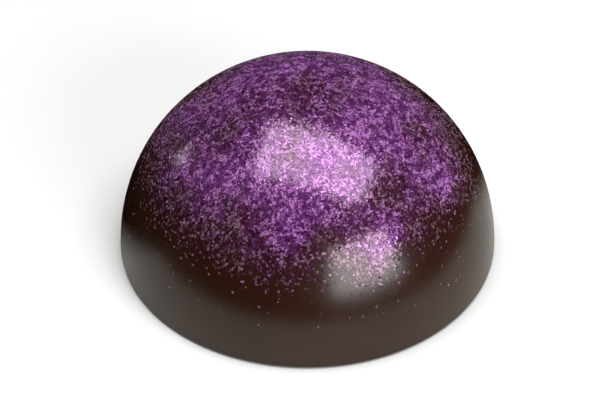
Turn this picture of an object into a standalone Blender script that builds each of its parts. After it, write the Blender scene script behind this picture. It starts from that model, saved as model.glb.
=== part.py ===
"""A moulded half-sphere chocolate praline that lies on its flat underside, in metres with +Z up.

The praline is one turned solid of chocolate: a dome that is a true half ball, a short upright rim below it, a
small rounded edge where the rim turns under, and a flat underside. The origin is the middle of the underside.
"""

import math

import bmesh
import bpy

DIAMETER = 0.030  # across the upright rim
RIM_HEIGHT = 0.0004  # from the surface it lies on up to where the dome starts
EDGE_RADIUS = 0.0003  # rounding between the rim and the underside

SIDES = 96  # round the praline
DOME_RINGS = 24  # up the dome
EDGE_RINGS = 3  # round the bottom edge

CHOCOLATE_COLOUR = (0.020, 0.0075, 0.0040, 1.0)
CHOCOLATE_ROUGHNESS = 0.2

MERGE_DISTANCE = 1e-7
QUARTER_TURN = math.pi / 2
FULL_TURN = 2 * math.pi


def clear_scene():
    """Remove whatever the scene holds."""
    for leftover in list(bpy.data.objects):
        bpy.data.objects.remove(leftover, do_unlink=True)


def arc(centre_x, centre_z, radius, start, end, steps):
    """Points along an arc in the XZ plane, both ends included."""
    points = []
    for step in range(steps + 1):
        angle = start + (end - start) * step / steps
        points.append((centre_x + radius * math.cos(angle), centre_z + radius * math.sin(angle)))
    return points


def praline_profile():
    """Half outline of the praline as (radius, height), from the underside's edge up to the crown."""
    radius = DIAMETER / 2
    edge = arc(radius - EDGE_RADIUS, EDGE_RADIUS, EDGE_RADIUS, -QUARTER_TURN, 0.0, EDGE_RINGS)
    dome = arc(0.0, RIM_HEIGHT, radius, 0.0, QUARTER_TURN, DOME_RINGS)
    return edge + dome


def turned_solid(profile):
    """Closed body turned from a half outline about the Z axis, with a flat underside."""
    body = bmesh.new()
    corners = [body.verts.new((x, 0.0, z)) for x, z in profile]
    lines = [body.edges.new(pair) for pair in zip(corners, corners[1:])]
    bmesh.ops.spin(
        body,
        geom=corners + lines,
        cent=(0.0, 0.0, 0.0),
        axis=(0.0, 0.0, 1.0),
        angle=FULL_TURN,
        steps=SIDES,
        use_merge=True,
    )
    bmesh.ops.remove_doubles(body, verts=body.verts[:], dist=MERGE_DISTANCE)
    rim = [edge for edge in body.edges if edge.is_boundary]
    bmesh.ops.contextual_create(body, geom=rim)
    bmesh.ops.recalc_face_normals(body, faces=body.faces[:])
    return body


def principled(name, colour, roughness):
    """A plain surface finish."""
    material = bpy.data.materials.new(name)
    material.use_nodes = True
    shader = material.node_tree.nodes["Principled BSDF"]
    shader.inputs["Base Color"].default_value = colour
    shader.inputs["Roughness"].default_value = roughness
    shader.inputs["Metallic"].default_value = 0.0
    return material


def make_praline():
    """The praline as one object."""
    body = turned_solid(praline_profile())
    mesh = bpy.data.meshes.new("praline")
    body.to_mesh(mesh)
    body.free()
    mesh.shade_smooth()
    mesh.set_sharp_from_angle(angle=math.radians(40.0))
    mesh.materials.append(principled("dark_chocolate", CHOCOLATE_COLOUR, CHOCOLATE_ROUGHNESS))
    praline = bpy.data.objects.new("praline", mesh)
    bpy.context.scene.collection.objects.link(praline)
    return praline


clear_scene()
make_praline()
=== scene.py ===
"""Looks of a moulded half-ball praline: dark chocolate, with a crown dusted in purple luster.

The frame gives the praline's size, and every other size is worked out from it. Lengths are in metres, +Z is up, and
-Y faces the usual viewer.
"""

import logging
import math
from collections.abc import Mapping, Sequence
from dataclasses import dataclass, field
from enum import Enum
from typing import Any

import bmesh
import bpy
import numpy as np
from mathutils import Matrix, Vector, noise


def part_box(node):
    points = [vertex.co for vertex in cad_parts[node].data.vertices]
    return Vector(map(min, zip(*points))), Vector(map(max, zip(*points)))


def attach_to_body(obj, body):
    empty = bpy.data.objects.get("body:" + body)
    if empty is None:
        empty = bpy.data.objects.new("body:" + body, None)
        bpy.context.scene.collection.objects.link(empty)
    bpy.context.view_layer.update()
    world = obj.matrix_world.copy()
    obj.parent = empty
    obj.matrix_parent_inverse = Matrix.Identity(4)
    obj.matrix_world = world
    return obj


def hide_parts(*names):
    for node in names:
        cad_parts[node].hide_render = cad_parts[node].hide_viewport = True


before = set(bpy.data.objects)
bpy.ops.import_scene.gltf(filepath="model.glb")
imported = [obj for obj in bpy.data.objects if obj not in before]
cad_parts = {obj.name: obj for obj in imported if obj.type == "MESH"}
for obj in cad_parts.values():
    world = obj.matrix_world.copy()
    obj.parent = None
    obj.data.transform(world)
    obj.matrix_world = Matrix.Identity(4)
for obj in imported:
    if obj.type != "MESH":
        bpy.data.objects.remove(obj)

LOG = logging.getLogger("praline")

NODE = "praline"
BODY = "root"
MAP_NAME = "OFBake"
WALKED = "walked"
LUSTER = "luster"

MILLIMETRE = 0.001
QUARTER_TURN = math.pi / 2
FULL_TURN = 2 * math.pi
MERGE_DISTANCE = 1e-8

Colour = tuple[float, float, float]


class Slot(Enum):
    """The record's material slots."""

    CHOCOLATE = "dark_chocolate"
    LUSTER = "luster_dust"


# ---------------------------------------------------------------------------------------------------------------------
# Shader maths
# ---------------------------------------------------------------------------------------------------------------------


class Signal:
    """A number that varies over a surface. Python's operators on it add the Math nodes."""

    def __init__(self, graph: "Graph", socket: bpy.types.NodeSocket) -> None:
        """Wrap one output socket of a graph."""
        self.graph = graph
        self.socket = socket

    def __add__(self, other: "Number") -> "Signal":
        """self + other."""
        return self.graph.math("ADD", self, other)

    def __radd__(self, other: "Number") -> "Signal":
        """other + self."""
        return self.graph.math("ADD", other, self)

    def __sub__(self, other: "Number") -> "Signal":
        """self - other."""
        return self.graph.math("SUBTRACT", self, other)

    def __rsub__(self, other: "Number") -> "Signal":
        """other - self."""
        return self.graph.math("SUBTRACT", other, self)

    def __mul__(self, other: "Number") -> "Signal":
        """self * other."""
        return self.graph.math("MULTIPLY", self, other)

    def __rmul__(self, other: "Number") -> "Signal":
        """other * self."""
        return self.graph.math("MULTIPLY", other, self)

    def __truediv__(self, other: "Number") -> "Signal":
        """self / other."""
        return self.graph.math("DIVIDE", self, other)

    def __pow__(self, other: "Number") -> "Signal":
        """self ** other."""
        return self.graph.math("POWER", self, other)

    def __rpow__(self, other: "Number") -> "Signal":
        """other ** self."""
        return self.graph.math("POWER", other, self)

    def __lt__(self, other: "Number") -> "Signal":
        """1 where self is less than other, and 0 elsewhere."""
        return self.graph.math("LESS_THAN", self, other)


Number = Signal | float


class Graph:
    """The node tree of one finish."""

    def __init__(self, tree: bpy.types.NodeTree) -> None:
        """Start from an empty tree."""
        self.tree = tree
        self.tree.nodes.clear()

    def node(
        self,
        kind: str,
        settings: Mapping[str, Any] | None = None,
        inputs: Mapping[int | str, Any] | None = None,
    ) -> bpy.types.Node:
        """Add one node.

        Args:
            kind: the node's type.
            settings: its properties, set before its sockets.
            inputs: a value, a signal or a socket for each named or numbered input.

        Returns:
            The node.
        """
        made = self.tree.nodes.new(kind)
        for name, value in (settings or {}).items():
            setattr(made, name, value)
        for key, value in (inputs or {}).items():
            if isinstance(value, Signal):
                value = value.socket
            if isinstance(value, bpy.types.NodeSocket):
                self.tree.links.new(value, made.inputs[key])
            else:
                made.inputs[key].default_value = value
        return made

    def math(self, operation: str, *operands: Number) -> Signal:
        """One Math node on these operands."""
        made = self.node("ShaderNodeMath", {"operation": operation}, dict(enumerate(operands)))
        return Signal(self, made.outputs[0])

    def clamp(self, value: Signal) -> Signal:
        """value, held between 0 and 1."""
        made = self.node("ShaderNodeClamp", inputs={"Value": value, "Min": 0.0, "Max": 1.0})
        return Signal(self, made.outputs[0])

    def smooth_step(self, value: Signal, low: float, high: float) -> Signal:
        """0 below low, 1 above high, and an S between them."""
        made = self.node(
            "ShaderNodeMapRange",
            {"interpolation_type": "SMOOTHSTEP"},
            {"Value": value, "From Min": low, "From Max": high},
        )
        return Signal(self, made.outputs[0])

    def mix(self, share: Number, first: Any, second: Any) -> bpy.types.NodeSocket:
        """Colour between two colours.

        Args:
            share: 0 for the first colour and 1 for the second.
            first: a colour or a colour socket.
            second: a colour or a colour socket.

        Returns:
            The mixed colour's socket.
        """
        ends = [(*end, 1.0) if isinstance(end, tuple) else end for end in (first, second)]
        made = self.node("ShaderNodeMix", {"data_type": "RGBA"}, {0: share, 6: ends[0], 7: ends[1]})
        return made.outputs[2]

    def split(self, vector: bpy.types.NodeSocket) -> tuple[Signal, Signal, Signal]:
        """The three parts of a vector."""
        made = self.node("ShaderNodeSeparateXYZ", inputs={0: vector})
        return tuple(Signal(self, output) for output in made.outputs)

    def position(self) -> bpy.types.NodeSocket:
        """Place on the piece, in metres."""
        return self.node("ShaderNodeTexCoord").outputs["Object"]

    def attribute(self, name: str) -> Signal:
        """A number kept on the piece's own vertices."""
        made = self.node("ShaderNodeAttribute", {"attribute_name": name})
        return Signal(self, made.outputs["Fac"])

    def noise(self, place: bpy.types.NodeSocket, pitch: float, detail: float = 2.0) -> Signal:
        """Soft noise from 0 to 1 whose blots are about pitch across."""
        made = self.node("ShaderNodeTexNoise", inputs={"Vector": place, "Scale": 1 / pitch, "Detail": detail})
        return Signal(self, made.outputs[0])


def new_material(name: str) -> tuple[bpy.types.Material, Graph]:
    """An empty material and its graph."""
    material = bpy.data.materials.new(name)
    material.use_nodes = True
    return material, Graph(material.node_tree)


# ---------------------------------------------------------------------------------------------------------------------
# Where the luster lies
# ---------------------------------------------------------------------------------------------------------------------


@dataclass(frozen=True)
class Patch:
    """A place on the dome where the luster lies thicker, or thinner if its strength is negative.

    Angles are in degrees: azimuth from -Y towards +X, zenith from the crown, and reach out to where it has faded.
    """

    azimuth: float
    zenith: float
    reach: float
    strength: float

    def weight(self, directions: np.ndarray) -> np.ndarray:
        """The patch's share in each unit direction from the dome's centre."""
        turn = math.radians(self.azimuth)
        tip = math.radians(self.zenith)
        aim = np.array([math.sin(tip) * math.sin(turn), -math.sin(tip) * math.cos(turn), math.cos(tip)])
        away = np.degrees(np.arccos(np.clip(directions @ aim, -1.0, 1.0)))
        return self.strength * np.exp(-2.0 * (away / self.reach) ** 2)


PATCHES = (
    Patch(60.0, 22.0, 10.0, 1.8),
    Patch(106.0, 22.0, 9.0, 1.0),
    Patch(92.0, 33.0, 7.0, 0.3),
    Patch(60.0, 32.0, 8.0, 0.8),
    Patch(66.0, 49.0, 9.0, 1.5),
    Patch(20.0, 28.0, 11.0, 0.9),
    Patch(-4.0, 39.0, 11.0, 1.4),
    Patch(-30.0, 35.0, 8.0, 0.9),
    Patch(-49.0, 37.0, 9.0, 1.1),
    Patch(-8.0, 47.0, 7.0, 0.5),
    Patch(-40.0, 17.0, 9.0, 0.3),
    Patch(32.0, 54.0, 10.0, 1.2),
    Patch(22.0, 62.0, 10.0, 1.2),
    Patch(-102.0, 38.0, 10.0, 0.5),
    Patch(-145.0, 18.0, 10.0, 1.3),
    Patch(-72.0, 43.0, 7.0, 0.4),
    Patch(-112.0, 25.0, 9.0, 0.5),
    Patch(168.0, 17.0, 12.0, 0.45),
    Patch(178.0, 42.0, 13.0, -0.7),
    Patch(175.0, 3.0, 9.0, -0.8),
    Patch(-64.0, 17.0, 10.0, -0.35),
    Patch(-62.0, 28.0, 7.0, -0.7),
    Patch(82.0, 36.0, 8.0, -0.8),
    Patch(38.0, 41.0, 8.0, -1.0),
    Patch(50.0, 36.0, 6.0, -0.6),
    Patch(68.0, 61.0, 9.0, -0.45),
    Patch(37.0, 59.5, 7.0, -0.8),
    Patch(82.0, 64.0, 8.0, 0.6),
    Patch(95.0, 52.0, 12.0, -0.6),
    Patch(-82.0, 42.0, 11.0, -0.7),
    Patch(-28.0, 47.0, 8.0, -0.25),
    Patch(14.0, 40.0, 7.0, -0.3),
    Patch(4.0, 50.0, 7.0, -0.7),
    Patch(126.0, 46.0, 15.0, -1.9),
    Patch(-128.0, 44.0, 15.0, -1.5),
    Patch(-170.0, 28.0, 8.0, -0.6),
)


@dataclass(frozen=True)
class Dusting:
    """How thickly the luster lies over the dome: full on the crown, thinning to nothing above the rim.

    Heights are the upward part of a direction from the dome's centre, 1 at the crown and 0 at the rim.
    """

    patches: tuple[Patch, ...] = PATCHES
    bare_height: float = 0.37
    full_height: float = 0.79
    edge_power: float = 1.5
    waver: float = 0.06
    patch_lift: float = 0.05
    patch_depth: float = 0.46
    speckle: float = 0.28

    def density(self, directions: np.ndarray) -> np.ndarray:
        """Thickness of the luster.

        Args:
            directions: unit directions from the dome's centre, one a row.

        Returns:
            For each direction 0 for bare chocolate, about 1 on the crown, and up to 1.5 in the thickest patches.
        """
        broad = np.array([noise.noise(Vector(row) * 3.1 + Vector((7.0, 0.0, 0.0))) for row in directions])
        fine = np.array([noise.fractal(Vector(row) * 9.0, 0.35, 2.0, 3) for row in directions])
        patches = sum(patch.weight(directions) for patch in self.patches)
        height = directions[:, 2] + self.waver * broad + self.patch_lift * patches
        step = np.clip((height - self.bare_height) / (self.full_height - self.bare_height), 0.0, 1.0)
        zone = (step * step * (3.0 - 2.0 * step)) ** self.edge_power
        return zone * np.clip(0.85 + self.patch_depth * patches + self.speckle * fine, 0.1, 1.6)


# ---------------------------------------------------------------------------------------------------------------------
# Finishes
# ---------------------------------------------------------------------------------------------------------------------


@dataclass(frozen=True)
class DustedChocolate:
    """Glossy moulded chocolate that takes up a film of luster powder towards the crown."""

    deep: Colour = (0.0190, 0.0052, 0.0019)
    warm: Colour = (0.0245, 0.0072, 0.0030)
    thin_film: Colour = (0.037, 0.0044, 0.025)
    thick_film: Colour = (0.062, 0.0072, 0.075)
    thin_grain: Colour = (0.120, 0.033, 0.092)
    thick_grain: Colour = (0.200, 0.040, 0.250)
    film_metal: float = 0.48
    bare_roughness: float = 0.25
    film_roughness: float = 0.12
    grain_pitch: float = 0.19 * MILLIMETRE
    ripple: float = 0.003 * MILLIMETRE

    def material(self) -> bpy.types.Material:
        """Build the shell's material."""
        material, graph = new_material("dusted_chocolate")
        place = graph.position()
        luster = graph.attribute(LUSTER)
        cover = graph.clamp(luster)
        richness = graph.smooth_step(luster, 0.5, 1.25)

        cells = graph.node("ShaderNodeTexVoronoi", inputs={"Vector": place, "Scale": 1 / self.grain_pitch})
        chance, tint, _ = graph.split(cells.outputs["Color"])
        reach = Signal(graph, cells.outputs["Distance"])
        grain = (chance < cover * 0.75) * (1.0 - graph.smooth_step(reach, 0.30, 0.60))

        mottle = graph.noise(place, 4.0 * MILLIMETRE, 4.0)
        chocolate = graph.mix(graph.smooth_step(mottle, 0.3, 0.7), self.deep, self.warm)
        film = graph.mix(richness, self.thin_film, self.thick_film)
        filmed = graph.mix(cover * 0.85, chocolate, film)
        powder = graph.mix(richness, self.thin_grain, self.thick_grain)
        colour = graph.mix(grain * tint, filmed, powder)

        breath = graph.noise(place, 1.6 * MILLIMETRE)
        gloss = self.bare_roughness - (self.bare_roughness - self.film_roughness) * cover + 0.04 * (breath - 0.5)
        ripples = graph.noise(place, 3.0 * MILLIMETRE, 1.0)
        relief = graph.node("ShaderNodeBump", inputs={"Distance": self.ripple, "Height": ripples})
        shader = graph.node(
            "ShaderNodeBsdfPrincipled",
            inputs={
                "Base Color": colour,
                "Metallic": self.film_metal * cover,
                "Roughness": gloss,
                "IOR": 1.5,
                "Normal": relief.outputs[0],
            },
        )
        graph.node("ShaderNodeOutputMaterial", inputs={"Surface": shader.outputs[0]})
        return material


@dataclass(frozen=True)
class ScrapedChocolate:
    """Duller chocolate that was drawn level with a scraper: fine streaks one way, and faint cloudy fat."""

    deep: Colour = (0.022, 0.0090, 0.0046)
    cloudy: Colour = (0.042, 0.0210, 0.0135)
    streak_pitch: float = 0.25 * MILLIMETRE
    stretch: float = 14.0

    def material(self) -> bpy.types.Material:
        """Build the underside's material."""
        material, graph = new_material("scraped_chocolate")
        place = graph.position()
        drawn = graph.node("ShaderNodeMapping", inputs={"Vector": place, "Scale": (1 / self.stretch, 1.0, 1.0)})
        streaks = graph.noise(drawn.outputs[0], self.streak_pitch, 3.0)
        clouds = graph.noise(place, 5.0 * MILLIMETRE, 5.0)
        pallor = graph.clamp(graph.smooth_step(clouds, 0.35, 0.75) * 0.6 + (streaks - 0.5) * 0.5)
        relief = graph.node("ShaderNodeBump", inputs={"Distance": 0.02 * MILLIMETRE, "Height": streaks})
        shader = graph.node(
            "ShaderNodeBsdfPrincipled",
            inputs={
                "Base Color": graph.mix(pallor, self.deep, self.cloudy),
                "Roughness": 0.38 + 0.25 * pallor,
                "Normal": relief.outputs[0],
            },
        )
        graph.node("ShaderNodeOutputMaterial", inputs={"Surface": shader.outputs[0]})
        return material


@dataclass(frozen=True)
class LusterFinish:
    """Pearly pigment under a clear film. Each grain's place on the piece's map picks its tint and brightness."""

    name: str
    violet_dim: Colour = (0.081, 0.0090, 0.097)
    violet_bright: Colour = (0.490, 0.1860, 0.535)
    beige_dim: Colour = (0.043, 0.0080, 0.017)
    beige_bright: Colour = (0.162, 0.0920, 0.110)
    dim_metal: float = 0.40
    bright_metal: float = 0.24
    roughness: float = 0.19
    film: float = 0.77
    film_roughness: float = 0.08

    def material(self) -> bpy.types.Material:
        """Build the grains' material."""
        material, graph = new_material(self.name)
        where = graph.node("ShaderNodeUVMap", {"uv_map": MAP_NAME}).outputs[0]
        hue, light, _ = graph.split(where)
        dim = graph.mix(hue, self.violet_dim, self.beige_dim)
        bright = graph.mix(hue, self.violet_bright, self.beige_bright)
        shader = graph.node(
            "ShaderNodeBsdfPrincipled",
            inputs={
                "Base Color": graph.mix(light, dim, bright),
                "Metallic": self.dim_metal + (self.bright_metal - self.dim_metal) * light,
                "Roughness": self.roughness,
                "Specular IOR Level": 0.0,
                "Coat Weight": self.film + (1.0 - self.film) * hue,
                "Coat Roughness": self.film_roughness,
            },
        )
        graph.node("ShaderNodeOutputMaterial", inputs={"Surface": shader.outputs[0]})
        return material


@dataclass(frozen=True)
class PaleFloor:
    """Plain pale studio paper."""

    colour: Colour = (0.74, 0.74, 0.735)

    def material(self) -> bpy.types.Material:
        """Build the floor's material."""
        material, graph = new_material("pale_floor")
        tooth = graph.noise(graph.position(), 2.0 * MILLIMETRE)
        darker = tuple(0.99 * part for part in self.colour)
        paper(graph, graph.mix(tooth, self.colour, darker))
        return material


@dataclass(frozen=True)
class MirroredFloor:
    """The part of the floor that the chocolate mirrors, with painted shade: darker than the floor the camera sees, and
    fading to black outwards, and behind the praline.
    """

    radius: float
    # Darker than the pale floor: painted shade in the chocolate's reflection of the floor.
    colour: Colour = (0.540, 0.535, 0.485)
    lit_share: float = 1.9
    dark_share: float = 2.85
    lit_back: float = 0.0
    dark_back: float = 0.50
    slant: float = -0.24

    def material(self) -> bpy.types.Material:
        """Build the mirrored floor's material."""
        material, graph = new_material("mirrored_floor_painted_shade")
        across, along, _ = graph.split(graph.position())
        away = (across * across + along * along) ** 0.5
        behind = along + self.slant * across
        # Painted shade: the reflected floor darkens outwards and behind the praline.
        near = 1.0 - graph.smooth_step(away, self.lit_share * self.radius, self.dark_share * self.radius)
        front = 1.0 - graph.smooth_step(behind, self.lit_back * self.radius, self.dark_back * self.radius)
        paper(graph, graph.mix(near * front, (0.0, 0.0, 0.0), self.colour))
        return material


def paper(graph: Graph, colour: bpy.types.NodeSocket) -> None:
    """Finish a graph as matt paper of this colour."""
    shader = graph.node(
        "ShaderNodeBsdfPrincipled",
        inputs={"Base Color": colour, "Roughness": 1.0, "Specular IOR Level": 0.0},
    )
    graph.node("ShaderNodeOutputMaterial", inputs={"Surface": shader.outputs[0]})


# ---------------------------------------------------------------------------------------------------------------------
# Shapes
# ---------------------------------------------------------------------------------------------------------------------


def arc(
    centre: tuple[float, float], radius: float, start: float, end: float, steps: int
) -> list[tuple[float, float]]:
    """Points along an arc, both ends included.

    Args:
        centre: the arc's centre as (distance from the axis, height).
        radius: the arc's radius.
        start: angle of the first point, in radians from straight outward.
        end: angle of the last point.
        steps: number of equal steps.

    Returns:
        Points as (distance from the axis, height).
    """
    angles = [start + (end - start) * step / steps for step in range(steps + 1)]
    return [(centre[0] + radius * math.cos(a), centre[1] + radius * math.sin(a)) for a in angles]


def path_shares(path: Sequence[tuple[float, float]]) -> list[float]:
    """How far along a path each of its points lies, from 0 at its start to 1 at its end."""
    walked = [0.0]
    for near, far in zip(path, path[1:]):
        walked.append(walked[-1] + math.dist(near, far))
    return [distance / walked[-1] for distance in walked]


def turned(profile: Sequence[tuple[float, float]], sides: int) -> bmesh.types.BMesh:
    """Body turned about the Z axis.

    Args:
        profile: half outline as (distance from the axis, height).
        sides: number of steps round.

    Returns:
        The turned body, with its doubles merged and its faces pointing out. Its vertices keep, as WALKED, how far
        along the outline they lie, from 0 to 1.
    """
    body = bmesh.new()
    walked = body.verts.layers.float.new(WALKED)
    corners = [body.verts.new((across, 0.0, up)) for across, up in profile]
    lines = [body.edges.new(pair) for pair in zip(corners, corners[1:])]
    for corner, share in zip(corners, path_shares(profile)):
        corner[walked] = share
    bmesh.ops.spin(
        body,
        geom=corners + lines,
        cent=(0.0, 0.0, 0.0),
        axis=(0.0, 0.0, 1.0),
        angle=FULL_TURN,
        steps=sides,
        use_merge=True,
    )
    bmesh.ops.remove_doubles(body, verts=body.verts[:], dist=MERGE_DISTANCE)
    bmesh.ops.recalc_face_normals(body, faces=body.faces[:])
    return body


def to_object(body: bmesh.types.BMesh, name: str) -> bpy.types.Object:
    """Turn a bmesh into a linked object, and free it."""
    mesh = bpy.data.meshes.new(name)
    body.to_mesh(mesh)
    body.free()
    made = bpy.data.objects.new(name, mesh)
    bpy.context.scene.collection.objects.link(made)
    return made


def attach(piece: bpy.types.Object, material: bpy.types.Material) -> bpy.types.Object:
    """Dress a piece, let it ride on the praline and stand for the solid, and report it."""
    piece.data.materials.append(material)
    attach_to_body(piece, BODY)
    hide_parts(NODE)
    LOG.info("%s: %d faces", piece.name, len(piece.data.polygons))
    return piece


@dataclass(frozen=True)
class Form:
    """The praline's outline, worked out from the frame."""

    radius: float
    height: float
    edge_radius: float = 0.3 * MILLIMETRE

    @classmethod
    def from_frame(cls) -> "Form":
        """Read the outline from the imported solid's box."""
        low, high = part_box(NODE)
        return cls(radius=(high.x - low.x) / 2, height=high.z - low.z)

    @property
    def rim_height(self) -> float:
        """Height at which the dome starts."""
        return self.height - self.radius

    @property
    def centre(self) -> Vector:
        """Centre of the ball that the dome is half of."""
        return Vector((0.0, 0.0, self.rim_height))


@dataclass(frozen=True)
class Shell:
    """The moulded chocolate: dome, upright rim, rounded edge, and a shallow recess that the base fills."""

    form: Form
    dusting: Dusting
    finish: DustedChocolate
    sides: int = 256
    dome_rings: int = 72
    edge_rings: int = 5
    wall: float = 1.6 * MILLIMETRE
    recess: float = 0.35 * MILLIMETRE
    map_margin: float = 0.01

    def profile(self) -> list[tuple[float, float]]:
        """Half outline from the crown, down the dome and under to the axis."""
        form = self.form
        dome = arc((0.0, form.rim_height), form.radius, QUARTER_TURN, 0.0, self.dome_rings)
        bend = (form.radius - form.edge_radius, form.edge_radius)
        edge = arc(bend, form.edge_radius, 0.0, -QUARTER_TURN, self.edge_rings)
        inner = form.radius - self.wall
        return dome + edge + [(inner, 0.0), (inner, self.recess), (0.0, self.recess)]

    def unwrap(self, piece: bpy.types.Object) -> None:
        """Lay the shell out flat: each point as far from the middle as it is from the crown along the surface."""
        mesh = piece.data
        walked = mesh.attributes[WALKED].data
        layer = mesh.uv_layers.new(name=MAP_NAME)
        reach = 0.5 - self.map_margin
        for face in mesh.polygons:
            for corner in face.loop_indices:
                vertex = mesh.loops[corner].vertex_index
                point = mesh.vertices[vertex].co
                aim = point if math.hypot(point.x, point.y) > MERGE_DISTANCE else face.center
                turn = math.atan2(aim.y, aim.x)
                out = walked[vertex].value * reach
                layer.data[corner].uv = (0.5 + out * math.cos(turn), 0.5 + out * math.sin(turn))

    def build(self) -> bpy.types.Object:
        """Model, unwrap and dress the shell."""
        piece = to_object(turned(self.profile(), self.sides), "shell")
        piece.data.shade_smooth()
        piece.data.set_sharp_from_angle(angle=math.radians(40.0))
        self.unwrap(piece)
        self.dust(piece.data)
        return attach(piece, self.finish.material())

    def dust(self, mesh: bpy.types.Mesh) -> None:
        """Keep on each vertex how thickly the luster lies there."""
        places = np.array([vertex.co for vertex in mesh.vertices]) - np.array(self.form.centre)
        directions = places / np.linalg.norm(places, axis=1, keepdims=True)
        layer = mesh.attributes.new(LUSTER, "FLOAT", "POINT")
        layer.data.foreach_set("value", self.dusting.density(directions).astype(np.float32))


@dataclass(frozen=True)
class Base:
    """The layer that closes the praline underneath: scraped level, with a fine seam round it."""

    form: Form
    finish: ScrapedChocolate
    wall: float = 1.6 * MILLIMETRE
    recess: float = 0.35 * MILLIMETRE
    seam: float = 0.05 * MILLIMETRE
    lip: float = 0.12 * MILLIMETRE
    sides: int = 160
    rings: int = 40
    unevenness: float = 0.035 * MILLIMETRE

    def profile(self) -> list[tuple[float, float]]:
        """Half outline from the axis underneath, out to the seam and back to the axis above."""
        outer = self.form.radius - self.wall - self.seam
        flat = outer - self.lip
        floor = [(flat * ring / self.rings, 0.0) for ring in range(self.rings)]
        lip = arc((flat, self.lip), self.lip, -QUARTER_TURN, 0.0, 4)
        top = self.recess - self.seam
        return floor + lip + [(outer, top), (0.0, top)]

    def scrape(self, body: bmesh.types.BMesh) -> None:
        """Draw shallow uneven hollows into the level face, and leave its outer ring touching the ground."""
        flat = self.form.radius - self.wall - self.seam - self.lip
        for corner in body.verts:
            across = math.hypot(corner.co.x, corner.co.y)
            if corner.co.z > MERGE_DISTANCE or across >= flat:
                continue
            place = Vector((corner.co.x * 90.0, corner.co.y * 520.0, 0.0))
            fade = 1.0 - (across / flat) ** 6
            corner.co.z += self.unevenness * fade * (0.6 + 0.4 * noise.noise(place))

    def build(self) -> bpy.types.Object:
        """Model and dress the base."""
        body = turned(self.profile(), self.sides)
        self.scrape(body)
        piece = to_object(body, "base")
        piece.data.shade_smooth()
        piece.data.set_sharp_from_angle(angle=math.radians(40.0))
        return attach(piece, self.finish.material())


@dataclass(frozen=True)
class GrainShape:
    """One grain of luster: a thin plate, a little narrower on top than underneath."""

    corners: int
    smallest: float
    largest: float
    thickness: float = 0.014 * MILLIMETRE
    taper: float = 0.86
    stretch: float = 0.25

    def plate(self) -> bpy.types.Object:
        """One plate of radius 1 and thickness 1."""
        body = bmesh.new()
        bmesh.ops.create_cone(
            body,
            cap_ends=True,
            cap_tris=False,
            segments=self.corners,
            radius1=1.0,
            radius2=self.taper,
            depth=1.0,
        )
        return to_object(body, "plate")


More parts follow.
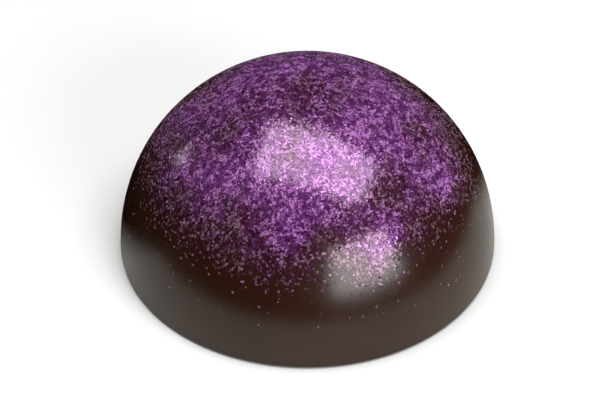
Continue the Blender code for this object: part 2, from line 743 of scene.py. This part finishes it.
@dataclass(frozen=True)
class Grains:
    """One kind of luster grain, scattered over the dome and pressed nearly flush with the chocolate."""

    name: str
    form: Form
    dusting: Dusting
    shape: GrainShape
    finish: LusterFinish
    count: int
    seed: int
    lean: float = math.radians(1.25)
    proud: float = 0.004 * MILLIMETRE
    crowding: float = 1.0
    strays: float = 0.009
    lowest: float = 0.22
    dimness: float = 2.2
    hue_spread: float = 0.16
    hue_pitch: float = 1.7 * MILLIMETRE
    hue_depth: float = 0.6
    cluster_pitch: float = 0.80 * MILLIMETRE
    cluster_depth: float = 1.25
    least_gain: float = 0.25
    map_cell: float = 0.003

    def directions(self, rng: np.random.Generator) -> np.ndarray:
        """Unit directions from the dome's centre, drawn where the luster lies.

        Args:
            rng: the source of every draw.

        Returns:
            An array of count rows.
        """
        found = np.empty((0, 3))
        while len(found) < self.count:
            z = rng.uniform(self.lowest, 1.0, self.count)
            turn = rng.uniform(0.0, FULL_TURN, self.count)
            across = np.sqrt(1.0 - z * z)
            drawn = np.stack([across * np.cos(turn), across * np.sin(turn), z], axis=1)
            wanted = self.dusting.density(drawn) ** self.crowding + self.strays
            found = np.concatenate([found, drawn[1.6 * rng.random(self.count) < wanted]])
        return found[: self.count]

    def axes(self, outward: np.ndarray, rng: np.random.Generator) -> np.ndarray:
        """Each grain's three axes: flat on the dome, turned any way and leaning a little.

        Args:
            outward: unit directions from the dome's centre.
            rng: the source of every draw.

        Returns:
            One matrix a grain, whose rows are its axes.
        """
        spin = rng.uniform(0.0, FULL_TURN, self.count)
        any_way = np.stack([np.cos(spin), np.sin(spin), rng.uniform(-0.9, 0.9, self.count)], axis=1)
        first = np.cross(outward, any_way)
        first /= np.linalg.norm(first, axis=1, keepdims=True)
        second = np.cross(outward, first)
        tips = rng.normal(0.0, math.tan(self.lean), (self.count, 2, 1))
        up = outward + tips[:, 0] * first + tips[:, 1] * second
        up /= np.linalg.norm(up, axis=1, keepdims=True)
        second = np.cross(up, first)
        second /= np.linalg.norm(second, axis=1, keepdims=True)
        return np.stack([np.cross(second, up), second, up], axis=1)

    def build(self) -> bpy.types.Object:
        """Scatter the grains as one joined mesh, and dress it."""
        rng = np.random.default_rng(self.seed)
        outward = self.directions(rng)
        axes = self.axes(outward, rng)
        width = rng.uniform(self.shape.smallest, self.shape.largest, self.count) / 2
        slim = 1.0 + rng.uniform(-self.shape.stretch, self.shape.stretch, self.count)
        size = np.stack([width * slim, width / slim, np.full(self.count, self.shape.thickness)], axis=1)
        middle = np.array(self.form.centre) + outward * (self.form.radius + self.proud)

        plate = self.shape.plate()
        corners = np.array([corner.co for corner in plate.data.vertices])
        spots = self.map_spots(plate.data)
        piece = self.repeat(plate)
        places = middle[:, None] + np.einsum("nvi,nij->nvj", corners[None] * size[:, None], axes)
        piece.data.vertices.foreach_set("co", places.astype(np.float32).ravel())
        tints = self.tints(outward, rng)
        layer = piece.data.uv_layers.new(name=MAP_NAME)
        layer.data.foreach_set("uv", (tints[:, None] + spots[None]).astype(np.float32).ravel())
        piece.data.update()
        return attach(piece, self.finish.material())

    def tints(self, outward: np.ndarray, rng: np.random.Generator) -> np.ndarray:
        """Each grain's spot on the map: violet where the luster is thick, beige where it is thin, and mostly dim."""
        richness = np.clip((self.dusting.density(outward) - 0.10) / 1.15, 0.0, 1.0)
        scale = self.form.radius / self.hue_pitch
        mottle = np.array([noise.noise(Vector(row) * scale) for row in outward])
        hue = 1.0 - richness + self.hue_depth * mottle + rng.normal(0.0, self.hue_spread, self.count)
        scale = self.form.radius / self.cluster_pitch
        clusters = np.array([noise.fractal(Vector(row) * scale, -0.8, 2.0, 2) for row in outward])
        gain = np.maximum(1.0 + self.cluster_depth * clusters, self.least_gain)
        light = rng.random(self.count) ** self.dimness * gain
        return np.clip(np.stack([hue, light], axis=1), 0.01, 0.99)

    def map_spots(self, plate: bpy.types.Mesh) -> np.ndarray:
        """Where each corner of each face lies on the map, from the grain's own spot: a small ring for each face."""
        spots = []
        for face in plate.polygons:
            turns = [FULL_TURN * corner / face.loop_total for corner in range(face.loop_total)]
            spots += [(self.map_cell * math.cos(turn), self.map_cell * math.sin(turn)) for turn in turns]
        return np.array(spots)

    def repeat(self, plate: bpy.types.Object) -> bpy.types.Object:
        """Join count copies of the plate into one mesh, and remove the plate."""
        copies = plate.modifiers.new("copies", "ARRAY")
        copies.use_relative_offset = False
        copies.count = self.count
        graph = bpy.context.evaluated_depsgraph_get()
        mesh = bpy.data.meshes.new_from_object(plate.evaluated_get(graph))
        mesh.name = self.name
        bpy.data.objects.remove(plate)
        piece = bpy.data.objects.new(self.name, mesh)
        bpy.context.scene.collection.objects.link(piece)
        return piece


# ---------------------------------------------------------------------------------------------------------------------
# Studio
# ---------------------------------------------------------------------------------------------------------------------


@dataclass(frozen=True)
class Softbox:
    """A plain rectangular lamp, seen by the chocolate and not by the camera."""

    name: str
    place: Vector
    width: float
    depth: float
    radiance: float
    turn: float = 0.0
    aim: Vector = field(default_factory=lambda: Vector((0.0, 0.0, 0.0)))

    def build(self) -> bpy.types.Object:
        """Hang the lamp, facing what it aims at."""
        data = bpy.data.lights.new(self.name, "AREA")
        data.shape = "RECTANGLE"
        data.size = self.width
        data.size_y = self.depth
        data.energy = self.radiance * math.pi * self.width * self.depth
        lamp = bpy.data.objects.new(self.name, data)
        facing = (self.aim - self.place).to_track_quat("-Z", "Y").to_matrix().to_4x4()
        lamp.matrix_world = Matrix.Translation(self.place) @ facing @ Matrix.Rotation(self.turn, 4, "Z")
        lamp.visible_camera = False
        bpy.context.scene.collection.objects.link(lamp)
        return lamp


@dataclass(frozen=True)
class Studio:
    """Pale floor, black room above it, softboxes and camera."""

    form: Form
    distance: float = 2.0
    floor_reach: float = 0.3
    backdrop: float = 1.0
    view_height: float = math.radians(41.4)
    view_share: float = 22.2
    picture_share: float = 0.6066

    def floor(self) -> None:
        """Lay the floor that the camera sees, and under it the smaller one that the chocolate mirrors, darkened with
        painted shade.
        """
        seen = to_object(turned([(0.0, 0.0), (self.floor_reach, 0.0)], 64), "floor")
        seen.data.materials.append(PaleFloor().material())
        seen.visible_glossy = False
        # The mirrored floor is painted darker and fades out: painted shade in the floor's reflection.
        finish = MirroredFloor(self.form.radius)
        pool = turned([(0.0, 0.0), (self.form.radius * finish.dark_share, 0.0)], 64)
        mirrored = to_object(pool, "floor_mirrored")
        mirrored.data.materials.append(finish.material())
        mirrored.visible_camera = False
        mirrored.visible_diffuse = False
        mirrored.visible_shadow = False
        for piece, depth in ((seen, 0.01), (mirrored, 0.005)):
            piece.location.z = -depth * MILLIMETRE

    def lamps(self) -> None:
        """Hang the softboxes round the praline."""
        far = self.distance
        Softbox(
            name="overhead",
            place=Vector((0.127 * far, -0.0130 * far, far)),
            width=1.31 * far,
            depth=0.685 * far,
            radiance=5.85,
            turn=math.radians(-18.8),
            aim=Vector((0.127 * far, -0.0130 * far, 0.0)),
        ).build()
        side = math.radians(36.3)
        spot = Vector((far * math.sin(side), -far * math.cos(side), 0.3725 * far))
        Softbox(
            name="front_right",
            place=spot,
            width=0.775 * far,
            depth=0.595 * far,
            radiance=7.1,
            aim=Vector((0.0, 0.0, spot.z)),
        ).build()
        side = math.radians(-122.7)
        spot = Vector((far * math.sin(side), -far * math.cos(side), 0.255 * far))
        Softbox(name="back_left", place=spot, width=0.14 * far, depth=0.14 * far, radiance=2.8).build()

    def room(self) -> None:
        """Surround the praline with black, which shows pale behind it."""
        world = bpy.data.worlds.new("room")
        world.use_nodes = True
        graph = Graph(world.node_tree)
        seen = graph.node("ShaderNodeLightPath").outputs["Is Camera Ray"]
        pale = graph.mix(Signal(graph, seen), (0.0, 0.0, 0.0), (self.backdrop,) * 3)
        shade = graph.node("ShaderNodeBackground", inputs={"Color": pale, "Strength": 1.0})
        graph.node("ShaderNodeOutputWorld", inputs={"Surface": shade.outputs[0]})
        bpy.context.scene.world = world
        bpy.context.scene.view_settings.view_transform = "Standard"

    def camera(self) -> None:
        """Stand the camera in front and above, with the praline in the middle of the picture."""
        back = Vector((0.0, -math.cos(self.view_height), math.sin(self.view_height)))
        up = Vector((0.0, math.sin(self.view_height), math.cos(self.view_height)))
        lift = self.form.radius * (1.0 - math.sin(self.view_height)) / 2
        aim = self.form.centre + up * lift
        eye = back * self.form.radius * self.view_share
        data = bpy.data.cameras.new("camera")
        data.lens = data.sensor_width * self.picture_share * self.view_share / 2
        data.clip_start = eye.length / 100
        data.clip_end = eye.length * 100
        camera = bpy.data.objects.new("camera", data)
        camera.matrix_world = Matrix.Translation(eye) @ (eye - aim).to_track_quat("Z", "Y").to_matrix().to_4x4()
        bpy.context.scene.collection.objects.link(camera)
        bpy.context.scene.camera = camera

    def build(self) -> None:
        """Set up everything round the praline."""
        self.camera()
        self.floor()
        self.lamps()
        self.room()


def luster(form: Form, dusting: Dusting) -> list[Grains]:
    """The kinds of luster on the crown, from the finest to the brightest."""
    return [
        Grains(
            name="dust",
            form=form,
            dusting=dusting,
            shape=GrainShape(3, 0.17 * MILLIMETRE, 0.30 * MILLIMETRE, stretch=0.30),
            finish=LusterFinish("luster_dust"),
            count=24500,
            seed=11,
            crowding=0.8,
            dimness=2.6,
        ),
        Grains(
            name="grit",
            form=form,
            dusting=dusting,
            shape=GrainShape(4, 0.15 * MILLIMETRE, 0.28 * MILLIMETRE, stretch=0.35),
            finish=LusterFinish("luster_grit"),
            count=16000,
            seed=23,
            crowding=0.9,
            dimness=2.0,
        ),
        Grains(
            name="flakes",
            form=form,
            dusting=dusting,
            shape=GrainShape(6, 0.20 * MILLIMETRE, 0.32 * MILLIMETRE),
            finish=LusterFinish("luster_flakes"),
            count=3000,
            seed=31,
            crowding=1.0,
            strays=0.002,
            dimness=1.5,
        ),
        Grains(
            name="sparkles",
            form=form,
            dusting=dusting,
            shape=GrainShape(6, 0.14 * MILLIMETRE, 0.24 * MILLIMETRE),
            finish=LusterFinish("luster_sparkles"),
            count=2800,
            seed=37,
            lean=math.radians(3.0),
            proud=0.008 * MILLIMETRE,
            strays=0.016,
            dimness=0.6,
        ),
    ]


def main() -> None:
    """Build the praline's pieces, then the studio round them."""
    logging.basicConfig(level=logging.INFO, format="%(name)s %(message)s")
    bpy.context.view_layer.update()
    form = Form.from_frame()
    dusting = Dusting()
    Shell(form, dusting, DustedChocolate()).build()
    Base(form, ScrapedChocolate()).build()
    for grains in luster(form, dusting):
        grains.build()
    Studio(form).build()


if __name__ == "__main__":
    main()
